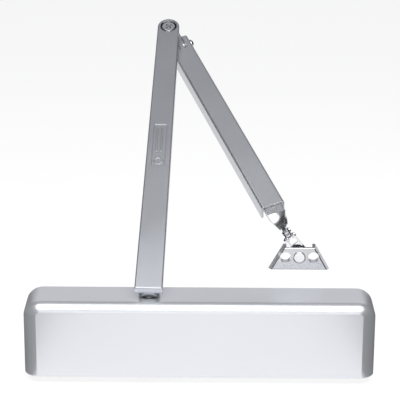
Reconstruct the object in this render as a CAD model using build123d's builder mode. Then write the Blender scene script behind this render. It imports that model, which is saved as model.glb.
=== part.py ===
"""Surface-mounted door closer: a covered rack-and-pinion cylinder with a two-piece arm and a foot.

Millimetres.  X runs along the body, -Y points out from the door, +Z is up.
The origin is the centre of the four mounting holes, on the flat back of the casting (y = 0).
"""
import os
from math import acos, atan2, cos, degrees, pi, radians, sin, sqrt, tan

from build123d import *

os.makedirs("parts", exist_ok=True)

# --- Cover --------------------------------------------------------------------------------
cover_length = 314.0
cover_height = 69.0
cover_depth = 45.0
cover_wall = 2.0
cover_back_gap = 0.6            # the cover's back edge stands off the door
cover_end_radius = 15.5         # upright front edges and the two top end edges
cover_front_radius = 10.3       # long top front edge
cover_crease = 0.4              # how far the flat front cuts into the rounded edges
spindle_hole_clearance = 1.6    # cover hole around the pinion shaft

# --- Casting ------------------------------------------------------------------------------
pinion_x = -45.0
bore_y = -20.5                  # cylinder axis and pinion axis, measured from the door
bore_radius = 15.0
barrel_wall = 4.0
barrel_end = 112.0              # barrel runs from -barrel_end to +barrel_end
plug_seat_wall = 2.5            # wall left around the end plug threads
plug_seat_depth = 12.0
lug_end = 137.0
lug_thickness = 9.0
lug_height = 34.0
mount_spacing_x = 235.0
mount_spacing_z = 19.0
mount_hole_radius = 3.4
pinion_boss_radius = 17.0
pinion_boss_half = 31.0
pinion_boss_chamfer = 1.0
lug_corner = 6.0
oilway_radius = 0.8

# --- End plugs ----------------------------------------------------------------------------
plug_nose = 8.0
plug_socket_half = 6.0          # half across the flats of the left plug's socket
plug_socket_depth = 9.0
ring_section = 0.8              # radius of the O-ring section
ring_gap = 0.02                 # O-ring to the bore
ring_groove = 2.0
spanner_hole_radius = 1.6
spanner_hole_reach = 11.0
spanner_hole_depth = 5.0

# --- Pinion, rack and bearings ------------------------------------------------------------
gear_module = 1.25
gear_teeth = 12
pressure_angle = radians(25)
backlash = 0.2
pinion_face_half = 15.3
journal_radius = 7.0
journal_clearance = 0.04
bearing_radius = 11.0
bearing_start = 16.0
bearing_length = 9.0
seal_radius = 13.0
seal_length = 2.5
bearing_cap_gap = 1.2           # air between the shaft and the bearing caps
bearing_cap_hole = 0.9
bearing_cap_hole_inset = 2.4
square_across = 10.0
square_clearance = 0.05
square_lead = 0.4               # the square starts this far below the hub
lower_square_length = 7.0
journal_stand = 0.5             # the journal stands this far out of the boss
spindle_cap_wall = 2.0
spindle_cap_gap = 1.0
spindle_cap_round = 1.4

# --- Piston and spring --------------------------------------------------------------------
piston_clearance = 0.05
piston_left = 34.0              # piston ends from the middle of its window
piston_right = 37.0
arm_swing = radians(180)        # swing of the arm from the spring's stop
window_spare = 0.8
piston_ring_groove = 1.6
piston_ring_gap = 0.1
piston_ring_from_end = 5.0
check_ball_radius = 2.2
check_ball_gap = 0.1
check_pocket_radius = 3.8
check_pocket_depth = 8.0
check_oilway_radius = 1.2
check_seat_bore = 1.3
check_seat_length = 2.5
spring_wire_radius = 1.8
spring_mean_radius = 11.0
spring_turns = 10
spring_plate_x = 78.0
spring_plate_thickness = 6.0
spring_plate_gap = 0.15
spigot_length = 5.0             # spigot that centres the spring
spigot_gap = 0.8

# --- Screws in the body -------------------------------------------------------------------
thread_clearance = 0.05
power_screw_radius = 4.0
power_head_radius = 6.0
power_head_length = 5.0
power_head_recess = 5.5
power_head_chamfer = 0.6
power_socket_half = 3.0
power_socket_depth = 3.5
power_screw_past = 12.0         # the screw's inner end beyond the spring plate's face
valve_radius = 3.0
valve_length = 9.0
valve_positions = {"sweep_valve": -99.0, "latch_valve": -85.0, "backcheck_valve": -71.0}
valve_block_depth = 28.0        # lower face of the valve block below the cylinder axis
valve_block_corner = 3.0
valve_sink = 0.4                # the valves sit this far inside their bores
valve_body_length = 6.1
valve_cone_length = 1.9
valve_cone_angle = 40.0
valve_slot_width = 1.0
valve_slot_depth = 1.4
valve_ring_start = 3.6
valve_ring_width = 1.2
valve_ring_depth = 0.9
valve_ring_gap = 0.1

# --- Cover clips --------------------------------------------------------------------------
clip_thickness = 1.2
clip_width = 20.0
clip_foot = 12.0                # length of the clip's foot on the lug
clip_stand = 3.0                # the clip's web stands this far past the lug
clip_web_reach = 0.72           # shares of the cover's depth at the clip's bends
clip_grip_reach = 0.5
clip_lip_reach = 0.25
clip_return = 4.0
clip_lip = 2.0
clip_wall_gap = 0.1
clip_hole_radius = 2.1
clip_screw_inset = 6.5          # end of the lug to the clip screw
clip_screw_hole = 1.7
clip_screw_radius = 1.65
clip_screw_head = 3.6
clip_screw_head_height = 2.2
clip_cross_length = 4.0
clip_cross_width = 0.9
clip_cross_depth = 1.2

# --- Main arm -----------------------------------------------------------------------------
arm_turn = radians(2.31)        # swing of the arm from square to the body
arm_rise = radians(31)          # crank of the arm up from its hub
arm_length = 336.1              # from the front end of the bar to the elbow axis
arm_thickness = 6.8
arm_root_width = 25.2
arm_tip_width = 21.8
arm_edge_radius = 1.4
arm_front = 12.5                # from the pinion axis to the front end of the bar
hub_gap = 1.5                   # air between the cover and the hub
hub_height = 4.0                # boss under the front end of the bar
hub_radius = 9.5
socket_depth = 11.0             # square socket in the boss
socket_spare = 0.3              # air over the end of the square
set_screw_radius = 1.5
set_screw_inset = 1.0
set_screw_socket = 0.75
set_screw_socket_depth = 1.6
panel_length = 54.0             # plain recessed panel on the arm
panel_width = 12.6
panel_depth = 0.5
panel_from_elbow = 164.0

# --- Elbow --------------------------------------------------------------------------------
elbow_screw_radius = 3.5
elbow_head_radius = 7.0
elbow_head_depth = 3.2
elbow_head_clearance = 0.1
elbow_head_dome = 0.9
elbow_dish_radius = 8.4
elbow_dish_depth = 1.3
elbow_cross_length = 7.4
elbow_cross_width = 1.7
elbow_cross_depth = 2.6
elbow_cross_turn = 20.0
elbow_washer_thickness = 1.0
bush_wall = 1.5
pivot_clearance = 0.05
knuckle_gap = 0.1
knuckle_radius = 9.0
knuckle_height = 10.0
elbow_nut_across = 11.0
elbow_nut_height = 5.0
elbow_nut_chamfer = 0.5
elbow_nut_pocket = 0.62         # radius of the nut's pocket as a share of its width
elbow_screw_past = 0.7          # the screw's end beyond the nut

# --- Forearm ------------------------------------------------------------------------------
forearm_fold = radians(23.92)   # angle between the main arm and the forearm
forearm_lift = radians(2)       # rise of the forearm towards the plane of the main arm
forearm_offset = 4.67           # centre line of the channel beside the elbow axis
bolt_reach = 17.5               # elbow axis to the cross bolt
channel_width = 23.0
channel_wall = 2.0
channel_depth = 14.0
channel_corner = 2.6
channel_top_gap = 2.7           # air between the main arm and the channel
channel_overhang = 7.3          # channel past the cross bolt towards the elbow
channel_pin_gap = 31.7          # end of the channel to the upper foot pin
bolt_radius = 2.5
bolt_head_radius = 4.8
bolt_head_height = 3.6
bolt_nut_across = 8.0
bolt_nut_length = 3.2
bolt_past = 0.8                 # the bolt's end beyond its nut
tongue_top_gap = 0.6            # air between the knuckle's tongue and the channel
knuckle_tongue_radius = 4.4
knuckle_tongue_half = 6.0
slit_width = 3.0
slit_spacing = 7.4
slit_length = 18.0

# --- Slider -------------------------------------------------------------------------------
slider_side_gap = 1.0           # air each side of the slider in the channel
slider_thickness = 6.0
slide_clearance = 0.3
slider_hidden = 120.0           # length of slider inside the channel
slider_shown = 9.0              # flat length beyond the channel
reach_short = 62.9              # the forearm reaches this much less than the main arm
blade_width = 8.4
blade_thickness = 3.6
clamp_from_end = 14.0
clamp_radius = 2.5
clamp_bridge_length = 10.0
clamp_bridge_height = 4.5
clamp_head_across = 8.0
clamp_head_height = 3.5
slider_corner = 0.8

# --- Foot ---------------------------------------------------------------------------------
foot_pin_radius = 1.4
foot_pin_head = 2.0
foot_pin_head_length = 1.0
link_length = 7.5
link_radius = 2.6
link_thickness = 1.2
link_gap = 0.3
fork_pin_rise = 19.0            # rivet to the lower pin, along the fork
fork_pin_side = 4.5
fork_thickness = 1.4
cheek_radius = 2.6
cheek_share = 0.64              # share of the fork's length taken by the straight cheeks
tab_front = -2.8                # front and back faces of the tab, from the foot's back face
tab_back = -0.9
tab_wall = 2.4
foot_pin_depth = 3.1            # lower pin in front of the foot's back face
foot_bottom_width = 56.0
foot_top_width = 29.0
foot_below = 13.3               # rivet axis to the bottom edge
foot_above = 10.5               # rivet axis to the top edge
foot_depth = 8.4
foot_wall = 2.2
foot_draft = 10.0
foot_hole_radius = 5.1
foot_hole_spacing = 25.5
foot_boss_wall = 1.2
foot_edge_radius = 1.0
foot_mouth_spare = 2.4          # opening behind the top edge for the fork
rivet_collar = 2.0
rivet_stand = 0.2
rivet_edge_radius = 0.6
rivet_seat_clearance = 0.4
rivet_tail_gap = 0.1
rivet_tail_length = 0.4
rivet_head_radius = 5.2
rivet_shank_radius = 3.0
rivet_seat = 2.0

# --- Sizes worked out from the above ------------------------------------------------------
cover_top = cover_height / 2
barrel_radius = bore_radius + barrel_wall
plug_radius = barrel_radius - plug_seat_wall
pitch_radius = gear_module * gear_teeth / 2
tooth_pitch = pi * gear_module
addendum = gear_module
dedendum = 1.25 * gear_module
piston_stroke = pitch_radius * arm_swing
piston_x = pinion_x - piston_stroke / 2
piston_radius = bore_radius - piston_clearance
window_half = pitch_radius + addendum + piston_stroke / 2 + window_spare
hub_bottom = cover_top + hub_gap
arm_top = hub_bottom + hub_height + arm_thickness * cos(arm_rise)

bore_plane = Plane(origin=(0, bore_y, 0), x_dir=(0, 1, 0), z_dir=(1, 0, 0))
pinion_plane = Plane(origin=(pinion_x, bore_y, 0))

# Directions of the arm, which rises straight from the front of its hub.
arm_level = Vector(sin(arm_turn), cos(arm_turn), 0)
arm_side = Vector(cos(arm_turn), -sin(arm_turn), 0)
arm_line = arm_level * cos(arm_rise) + Vector(0, 0, sin(arm_rise))
arm_normal = arm_side.cross(arm_line)
hub_plane = Plane(origin=(pinion_x, bore_y, hub_bottom), x_dir=arm_side, z_dir=(0, 0, 1))
arm_start = hub_plane.from_local_coords(Vector(0, -arm_front, arm_top - hub_bottom))
arm_plane = Plane(origin=arm_start, x_dir=arm_side, z_dir=arm_normal)
elbow_point = arm_plane.from_local_coords(Vector(0, arm_length, 0))

# Elbow frame: origin on the elbow axis at the top of the arm, Y away from the forearm.
knuckle_line = arm_side * sin(forearm_fold) - arm_line * cos(forearm_fold)
forearm_side = arm_side * cos(forearm_fold) + arm_line * sin(forearm_fold)
elbow_frame = Plane(origin=elbow_point, x_dir=forearm_side, z_dir=arm_normal)
washer_top = -arm_thickness
knuckle_top = washer_top - elbow_washer_thickness
knuckle_bottom = knuckle_top - knuckle_height
web_top = -arm_thickness - channel_top_gap
web_under = web_top - channel_wall
bolt_level = web_under - knuckle_tongue_radius - tongue_top_gap
slider_top = web_under - slide_clearance
slider_width = channel_width - 2 * channel_wall - 2 * slider_side_gap
upper_pin_reach = arm_length - reach_short
channel_length = channel_overhang + upper_pin_reach - channel_pin_gap
slider_level = slider_top - slider_thickness / 2
channel_end_y = -bolt_reach + channel_overhang

# Forearm frame: the elbow frame tipped about the cross bolt by the forearm's lift.
bolt_point = elbow_frame.from_local_coords(Vector(forearm_offset, -bolt_reach, bolt_level))
forearm_line = knuckle_line * cos(forearm_lift) + arm_normal * sin(forearm_lift)
forearm_normal = arm_normal * cos(forearm_lift) - knuckle_line * sin(forearm_lift)
forearm_origin = (bolt_point - forearm_side * forearm_offset - forearm_line * bolt_reach
                  - forearm_normal * bolt_level)
forearm_plane = Plane(origin=forearm_origin, x_dir=forearm_side, z_dir=forearm_normal)

# Foot frame: both pins lie along a line square to the forearm and parallel to the foot plate.
pin_line = Vector(-forearm_line.Z, 0, forearm_line.X).normalized()
fork_line = Vector(-pin_line.Z, 0, pin_line.X)
upper_pin = forearm_plane.from_local_coords(
    Vector(forearm_offset, -bolt_reach - upper_pin_reach, slider_level))
lower_pin = upper_pin + forearm_line * link_length
rivet_point = (lower_pin - fork_line * fork_pin_rise - pin_line * fork_pin_side
               + Vector(0, foot_pin_depth, 0))
foot_plane = Plane(origin=rivet_point, x_dir=(1, 0, 0), z_dir=(0, -1, 0))
blade_twist = degrees(atan2(-pin_line.dot(forearm_side), pin_line.dot(forearm_normal)))


def write(piece, node):
    """Label a finished piece and write its STEP file."""
    piece.part.label = node
    export_step(piece.part, f"parts/{node}.step")


def involute(angle):
    return tan(angle) - angle


def tooth_half_angle(radius):
    """Half the angle that a pinion tooth takes up at a radius."""
    base_radius = pitch_radius * cos(pressure_angle)
    at_pitch = (tooth_pitch / 2 - backlash / 2) / (2 * pitch_radius)
    slope = acos(base_radius / radius)
    return at_pitch + involute(pressure_angle) - involute(slope)


# --- Body casting: barrel, pinion boss, back rail with mounting lugs, valve block ----------
with BuildPart() as body_casting:
    with BuildSketch(bore_plane.offset(-barrel_end)):
        Circle(barrel_radius)
    extrude(amount=2 * barrel_end)
    with BuildSketch(Plane.XZ):
        RectangleRounded(2 * lug_end, lug_height, lug_corner)
    extrude(amount=lug_thickness)
    with BuildSketch(Plane.XZ):
        Rectangle(2 * barrel_end, 2 * bore_radius)
    extrude(amount=-bore_y)
    with BuildSketch(pinion_plane.offset(-pinion_boss_half)):
        Circle(pinion_boss_radius)
    extrude(amount=2 * pinion_boss_half)
    valve_mid = (min(valve_positions.values()) + max(valve_positions.values())) / 2
    valve_span = max(valve_positions.values()) - min(valve_positions.values())
    with BuildSketch(Plane(origin=(valve_mid, bore_y, -valve_block_depth))):
        RectangleRounded(valve_span + 4 * valve_radius, 5 * valve_radius, valve_block_corner)
    extrude(amount=valve_block_depth)
    chamfer(body_casting.edges().filter_by(GeomType.CIRCLE).filter_by(
        lambda edge: abs(abs(edge.center().Z) - pinion_boss_half) < 0.01), length=pinion_boss_chamfer)
    with BuildSketch(bore_plane.offset(-barrel_end)):
        Circle(bore_radius)
    extrude(amount=2 * barrel_end, mode=Mode.SUBTRACT)
    for side in (-1, 1):
        with BuildSketch(bore_plane.offset(side * barrel_end)):
            Circle(plug_radius)
        extrude(amount=-side * plug_seat_depth, mode=Mode.SUBTRACT)
        with BuildSketch(pinion_plane.offset(side * pinion_boss_half)):
            Circle(seal_radius)
        extrude(amount=side * (bearing_start + bearing_length - pinion_boss_half), mode=Mode.SUBTRACT)
    with BuildSketch(pinion_plane.offset(-pinion_boss_half)):
        Circle(bearing_radius)
    extrude(amount=2 * pinion_boss_half, mode=Mode.SUBTRACT)
    with BuildSketch(Plane.XZ):
        with GridLocations(mount_spacing_x, mount_spacing_z, 2, 2):
            Circle(mount_hole_radius)
    extrude(amount=lug_thickness, mode=Mode.SUBTRACT)
    for valve_x in valve_positions.values():
        with BuildSketch(Plane(origin=(valve_x, bore_y, -valve_block_depth))):
            Circle(valve_radius)
        extrude(amount=valve_length, mode=Mode.SUBTRACT)
        with BuildSketch(Plane(origin=(valve_x, bore_y, -valve_block_depth))):
            Circle(oilway_radius)
        extrude(amount=valve_block_depth, mode=Mode.SUBTRACT)
    for side in (-1, 1):
        with BuildSketch(Plane.XZ):
            with Locations((side * (lug_end - clip_screw_inset), 0)):
                Circle(clip_screw_hole)
        extrude(amount=lug_thickness, mode=Mode.SUBTRACT)
write(body_casting, "body_casting")

# --- End plugs: threaded discs with a nose, an O-ring groove and a hexagon socket ----------
ring_reach = barrel_end - plug_seat_depth - plug_nose / 2
for side, name in ((-1, "left_end_plug"), (1, "right_end_plug")):
    with BuildPart() as end_plug:
        with BuildSketch(bore_plane.offset(side * (barrel_end - plug_seat_depth))):
            Circle(plug_radius - thread_clearance)
        extrude(amount=side * plug_seat_depth)
        with BuildSketch(bore_plane.offset(side * (barrel_end - plug_seat_depth))):
            Circle(bore_radius - thread_clearance)
        extrude(amount=-side * plug_nose)
        with BuildSketch(bore_plane.offset(side * (ring_reach - ring_groove / 2))):
            Circle(bore_radius)
            Circle(bore_radius - 2 * ring_section, mode=Mode.SUBTRACT)
        extrude(amount=side * ring_groove, mode=Mode.SUBTRACT)
        if side < 0:
            with BuildSketch(bore_plane.offset(-barrel_end)):
                RegularPolygon(plug_socket_half, 6, major_radius=False)
            extrude(amount=plug_socket_depth, mode=Mode.SUBTRACT)
        else:
            with BuildSketch(bore_plane.offset(barrel_end)):
                Circle(power_head_radius + thread_clearance)
            extrude(amount=-power_head_recess, mode=Mode.SUBTRACT)
            with BuildSketch(bore_plane.offset(barrel_end)):
                Circle(power_screw_radius + thread_clearance)
            extrude(amount=-plug_seat_depth - plug_nose, mode=Mode.SUBTRACT)
            with BuildSketch(bore_plane.offset(barrel_end)):
                with PolarLocations(spanner_hole_reach, 2):
                    Circle(spanner_hole_radius)
            extrude(amount=-spanner_hole_depth, mode=Mode.SUBTRACT)
    write(end_plug, name)

with BuildPart() as end_plug_rings:
    for side in (-1, 1):
        with BuildSketch(Plane.XZ.offset(-bore_y)):
            with Locations((side * ring_reach, bore_radius - ring_section)):
                Circle(ring_section - ring_gap)
        revolve(axis=Axis((0, bore_y, 0), (1, 0, 0)))
write(end_plug_rings, "end_plug_rings")

# --- Pinion bearings, shaft seals and bearing caps -----------------------------------------
bearing_end = bearing_start + bearing_length
seal_end = bearing_end + seal_length
for side, place in ((1, "upper"), (-1, "lower")):
    with BuildPart() as bearing:
        with BuildSketch(pinion_plane.offset(side * bearing_start)):
            Circle(bearing_radius)
            Circle(journal_radius + journal_clearance, mode=Mode.SUBTRACT)
        extrude(amount=side * bearing_length)
    write(bearing, f"{place}_bearing")

    with BuildPart() as shaft_seal:
        with BuildSketch(pinion_plane.offset(side * bearing_end)):
            Circle(seal_radius)
            Circle(journal_radius + journal_clearance, mode=Mode.SUBTRACT)
        extrude(amount=side * seal_length)
    write(shaft_seal, f"{place}_shaft_seal")

    with BuildPart() as bearing_cap:
        with BuildSketch(pinion_plane.offset(side * seal_end)):
            Circle(seal_radius - thread_clearance)
            Circle(journal_radius + bearing_cap_gap, mode=Mode.SUBTRACT)
            with PolarLocations(seal_radius - bearing_cap_hole_inset, 4):
                Circle(bearing_cap_hole, mode=Mode.SUBTRACT)
        extrude(amount=side * (pinion_boss_half - seal_end))
    write(bearing_cap, f"{place}_bearing_cap")

# --- Pinion shaft: twelve involute teeth, two journals, a square at each end ---------------
tip_radius = pitch_radius + addendum
root_radius = pitch_radius - dedendum
base_radius = pitch_radius * cos(pressure_angle)
flank_radii = [base_radius + (tip_radius - base_radius) * (step / 5) ** 2 for step in range(6)]
flank = [(r, pi / gear_teeth - tooth_half_angle(r)) for r in flank_radii]
square_top = hub_bottom + socket_depth - socket_spare
square_start = hub_bottom - square_lead
with BuildPart() as pinion_shaft:
    with BuildSketch(pinion_plane.offset(-pinion_face_half)):
        Circle(tip_radius)
        for tooth in range(gear_teeth):
            middle = -pi / 2 + tooth * 2 * pi / gear_teeth
            right = [(r * cos(middle + a), r * sin(middle + a)) for r, a in flank]
            left = [(r * cos(middle - a), r * sin(middle - a)) for r, a in flank]
            gap = flank[0][1]
            root = [(root_radius * cos(middle + a), root_radius * sin(middle + a)) for a in (gap, -gap)]
            beyond = tip_radius * 1.1 / cos(flank[-1][1])
            outside = [(beyond * cos(middle + a), beyond * sin(middle + a))
                       for a in (-flank[-1][1], flank[-1][1])]
            with BuildLine():
                Spline(*right)
                Polyline(right[0], root[0], root[1], left[0])
                Spline(*left)
                Polyline(left[-1], outside[0], outside[1], right[-1])
            make_face(mode=Mode.SUBTRACT)
    extrude(amount=2 * pinion_face_half)
    for side in (-1, 1):
        with BuildSketch(pinion_plane.offset(side * pinion_face_half)):
            Circle(journal_radius)
        journal_end = square_start if side > 0 else pinion_boss_half + journal_stand
        extrude(amount=side * (journal_end - pinion_face_half))
    with BuildSketch(pinion_plane.offset(square_start)):
        Rectangle(square_across, square_across, rotation=-degrees(arm_turn))
    extrude(amount=square_top - square_start)
    with BuildSketch(pinion_plane.offset(-pinion_boss_half - journal_stand)):
        Rectangle(square_across, square_across, rotation=-degrees(arm_turn))
    extrude(amount=-lower_square_length)
write(pinion_shaft, "pinion_shaft")

# --- Spindle cap: moulded cup pushed on the unused lower square ----------------------------
cap_top = -pinion_boss_half - spindle_cap_gap
cap_bottom = -pinion_boss_half - journal_stand - lower_square_length - spindle_cap_wall
with BuildPart() as spindle_cap:
    with BuildSketch(pinion_plane.offset(cap_bottom)):
        Circle(square_across / sqrt(2) + spindle_cap_wall)
    extrude(amount=cap_top - cap_bottom)
    fillet(spindle_cap.faces().sort_by(Axis.Z)[0].edges(), radius=spindle_cap_round)
    with BuildSketch(pinion_plane.offset(cap_bottom + spindle_cap_wall)):
        Rectangle(square_across + 2 * square_clearance, square_across + 2 * square_clearance,
                  rotation=-degrees(arm_turn))
    extrude(amount=lower_square_length + 2, mode=Mode.SUBTRACT)
write(spindle_cap, "spindle_cap")

# --- Piston: turned bar with a window for the pinion and a rack along its front wall -------
rack_pitch_line = -pitch_radius
rack_root = rack_pitch_line - dedendum
rack_tip = rack_pitch_line + addendum
tooth_middle = (tooth_pitch / 2 - backlash / 2) / 2
tooth_root_half = tooth_middle + dedendum * tan(pressure_angle)
tooth_tip_half = tooth_middle - addendum * tan(pressure_angle)
first_tooth = int((piston_stroke / 2 + window_half - tooth_root_half) / tooth_pitch)
last_tooth = int((window_half - piston_stroke / 2 - tooth_root_half) / tooth_pitch)
rack_outline = []
for tooth in range(last_tooth, -first_tooth - 1, -1):
    tooth_x = tooth * tooth_pitch
    rack_outline += [(tooth_x + tooth_root_half, rack_root), (tooth_x + tooth_tip_half, rack_tip),
                     (tooth_x - tooth_tip_half, rack_tip), (tooth_x - tooth_root_half, rack_root)]
window_back = tip_radius + window_spare
ring_groove_x = piston_x + piston_right - piston_ring_from_end
with BuildPart() as piston:
    with BuildSketch(bore_plane.offset(piston_x - piston_left)):
        Circle(piston_radius)
    extrude(amount=piston_left + piston_right)
    with BuildSketch(pinion_plane.offset(-bore_radius)):
        with BuildLine():
            left, right = -piston_stroke / 2 - window_half, -piston_stroke / 2 + window_half
            Polyline((left, rack_root), (left, window_back), (right, window_back), (right, rack_root),
                     *rack_outline, close=True)
        make_face()
    extrude(amount=2 * bore_radius, mode=Mode.SUBTRACT)
    with BuildSketch(bore_plane.offset(ring_groove_x - piston_ring_groove / 2)):
        Circle(bore_radius)
        Circle(bore_radius - piston_ring_groove, mode=Mode.SUBTRACT)
    extrude(amount=piston_ring_groove, mode=Mode.SUBTRACT)
    with BuildSketch(bore_plane.offset(piston_x - piston_left)):
        Circle(check_pocket_radius)
    extrude(amount=check_pocket_depth, mode=Mode.SUBTRACT)
    with BuildSketch(bore_plane.offset(piston_x - piston_left)):
        Circle(check_oilway_radius)
    extrude(amount=piston_left - window_half + 2, mode=Mode.SUBTRACT)
write(piston, "piston")

with BuildPart() as piston_ring:
    with BuildSketch(bore_plane.offset(ring_groove_x - piston_ring_groove / 2 + piston_ring_gap)):
        Circle(bore_radius - ring_gap)
        Circle(bore_radius - piston_ring_groove + piston_ring_gap, mode=Mode.SUBTRACT)
    extrude(amount=piston_ring_groove - 2 * piston_ring_gap)
write(piston_ring, "piston_ring")

with BuildPart() as check_valve_seat:
    with BuildSketch(bore_plane.offset(piston_x - piston_left)):
        Circle(check_pocket_radius - thread_clearance)
        Circle(check_seat_bore, mode=Mode.SUBTRACT)
    extrude(amount=check_seat_length)
write(check_valve_seat, "check_valve_seat")

with BuildPart() as check_ball:
    with Locations((piston_x - piston_left + check_seat_length + check_ball_gap + check_ball_radius, bore_y, 0)):
        Sphere(check_ball_radius)
write(check_ball, "check_ball")

# --- Closing spring: round wire wound between the piston and the spring plate --------------
spring_start = piston_x + piston_right + spring_wire_radius
spring_end = spring_plate_x - spring_wire_radius
with BuildPart() as closing_spring:
    with BuildLine():
        coil = Helix(pitch=(spring_end - spring_start) / spring_turns, height=spring_end - spring_start,
                     radius=spring_mean_radius, center=(spring_start, bore_y, 0), direction=(1, 0, 0))
    with BuildSketch(Plane(origin=coil @ 0, z_dir=coil % 0)):
        Circle(spring_wire_radius)
    sweep(is_frenet=True)
write(closing_spring, "closing_spring")

with BuildPart() as spring_plate:
    with BuildSketch(bore_plane.offset(spring_plate_x)):
        Circle(piston_radius - spring_plate_gap)
    extrude(amount=spring_plate_thickness)
    with BuildSketch(bore_plane.offset(spring_plate_x)):
        Circle(spring_mean_radius - spring_wire_radius - spigot_gap)
    extrude(amount=-spigot_length)
    with BuildSketch(bore_plane.offset(spring_plate_x - spigot_length)):
        Circle(power_screw_radius + thread_clearance)
    extrude(amount=spring_plate_thickness + spigot_length, mode=Mode.SUBTRACT)
write(spring_plate, "spring_plate")

with BuildPart() as power_screw:
    with BuildSketch(bore_plane.offset(barrel_end - power_head_length)):
        Circle(power_head_radius)
    extrude(amount=power_head_length)
    chamfer(power_screw.edges().sort_by(Axis.X)[-1], length=power_head_chamfer)
    with BuildSketch(bore_plane.offset(barrel_end - power_head_length)):
        Circle(power_screw_radius)
    extrude(amount=spring_plate_x - power_screw_past - barrel_end + power_head_length)
    with BuildSketch(bore_plane.offset(barrel_end)):
        RegularPolygon(power_socket_half, 6, major_radius=False)
    extrude(amount=-power_socket_depth, mode=Mode.SUBTRACT)
write(power_screw, "power_screw")

# --- Speed valves: needle screws in the valve block, each with an O-ring -------------------
valve_face = -valve_block_depth
for name, valve_x in valve_positions.items():
    with BuildPart() as valve:
        with BuildSketch(Plane(origin=(valve_x, bore_y, valve_face + valve_sink))):
            Circle(valve_radius - thread_clearance)
        extrude(amount=valve_body_length)
        with BuildSketch(Plane(origin=(valve_x, bore_y, valve_face + valve_sink + valve_body_length))):
            Circle(valve_radius - thread_clearance)
        extrude(amount=valve_cone_length, taper=valve_cone_angle)
        with BuildSketch(Plane(origin=(valve_x, bore_y, valve_face + valve_sink))):
            Rectangle(2 * valve_radius, valve_slot_width)
        extrude(amount=valve_slot_depth, mode=Mode.SUBTRACT)
        with BuildSketch(Plane(origin=(valve_x, bore_y, valve_face + valve_ring_start))):
            Circle(valve_radius)
            Circle(valve_radius - valve_ring_depth, mode=Mode.SUBTRACT)
        extrude(amount=valve_ring_width, mode=Mode.SUBTRACT)
    write(valve, name)

    with BuildPart() as valve_ring:
        with BuildSketch(Plane(origin=(valve_x, bore_y, valve_face + valve_ring_start + valve_ring_gap))):
            Circle(valve_radius - ring_gap)
            Circle(valve_radius - valve_ring_depth + ring_gap, mode=Mode.SUBTRACT)
        extrude(amount=valve_ring_width - 2 * valve_ring_gap)
    write(valve_ring, f"{name}_ring")

# --- Cover: one shell, open at the back and below, with a hole for the hub -----------------
def cover_form(inset):
    """Solid of the cover's outside, or of its inside at one wall thickness in."""
    front = -cover_depth - cover_crease
    with BuildPart() as form:
        with BuildSketch(Plane.XY.offset(-cover_top - (1 if inset else 0))):
            with BuildLine():
                half = cover_length / 2 - inset
                back = 1 if inset else -cover_back_gap
                Polyline((-half, back), (half, back), (half, front + inset), (-half, front + inset),
                         close=True)
            make_face()
        extrude(amount=2 * cover_top - inset + (1 if inset else 0))
        upright = form.edges().filter_by(Axis.Z).group_by(Axis.Y)[0]
        top_ends = form.faces().sort_by(Axis.Z)[-1].edges().filter_by(Axis.Y)
        fillet(upright + top_ends, radius=cover_end_radius - inset)
        fillet(form.faces().sort_by(Axis.Z)[-1].edges().group_by(Axis.Y)[0],
               radius=cover_front_radius - inset)
        split(bisect_by=Plane.XZ.offset(cover_depth - inset), keep=Keep.BOTTOM)
    return form.part


with BuildPart() as cover:
    add(cover_form(0))
    add(cover_form(cover_wall), mode=Mode.SUBTRACT)
    with BuildSketch(pinion_plane.offset(cover_top - cover_wall - 1)):
        Circle(journal_radius + spindle_hole_clearance)
    extrude(amount=cover_wall + 2, mode=Mode.SUBTRACT)
write(cover, "cover")

# --- Cover clips: bent spring strips screwed to the lugs, gripping the end walls -----------
inner_end = cover_length / 2 - cover_wall
for side, name in ((-1, "left_cover_clip"), (1, "right_cover_clip")):
    with BuildPart() as cover_clip:
        with BuildSketch(Plane.XY.offset(-clip_width / 2)):
            with BuildLine():
                mid = clip_thickness / 2
                Polyline((side * (lug_end - clip_foot), -lug_thickness - mid),
                         (side * (lug_end + clip_stand), -lug_thickness - mid),
                         (side * (lug_end + clip_stand), -cover_depth * clip_web_reach),
                         (side * (inner_end - mid - clip_return), -cover_depth * clip_web_reach),
                         (side * (inner_end - mid - clip_wall_gap), -cover_depth * clip_grip_reach),
                         (side * (inner_end - mid - clip_lip), -cover_depth * clip_lip_reach))
            trace(line_width=clip_thickness)
        extrude(amount=clip_width)
        with BuildSketch(Plane.XZ.offset(lug_thickness)):
            with Locations((side * (lug_end - clip_screw_inset), 0)):
                Circle(clip_hole_radius)
        extrude(amount=clip_thickness + 1, mode=Mode.SUBTRACT)
    write(cover_clip, name)

with BuildPart() as cover_clip_screws:
    for side in (-1, 1):
        screw_x = side * (lug_end - clip_screw_inset)
        with BuildSketch(Plane.XZ.offset(lug_thickness + clip_thickness)):
            with Locations((screw_x, 0)):
                Circle(clip_screw_head)
        extrude(amount=clip_screw_head_height)
        with BuildSketch(Plane.XZ.offset(lug_thickness + clip_thickness)):
            with Locations((screw_x, 0)):
                Circle(clip_screw_radius)
        extrude(amount=-lug_thickness)
        for turn in (0, 90):
            with BuildSketch(Plane.XZ.offset(lug_thickness + clip_thickness + clip_screw_head_height)):
                with Locations((screw_x, 0)):
                    Rectangle(clip_cross_length, clip_cross_width, rotation=turn)
            extrude(amount=-clip_cross_depth, mode=Mode.SUBTRACT)
write(cover_clip_screws, "cover_clip_screws")

# --- Main arm: flat bar cranked up from its hub, tapering to a round end --------------------
with BuildPart() as arm_boss:
    with BuildSketch(hub_plane):
        Circle(hub_radius)
    extrude(amount=hub_height + arm_front + arm_thickness)
    split(bisect_by=arm_plane.offset(-arm_thickness / 2), keep=Keep.BOTTOM)
    split(bisect_by=Plane(origin=arm_start, x_dir=arm_side, z_dir=arm_line), keep=Keep.TOP)

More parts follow.
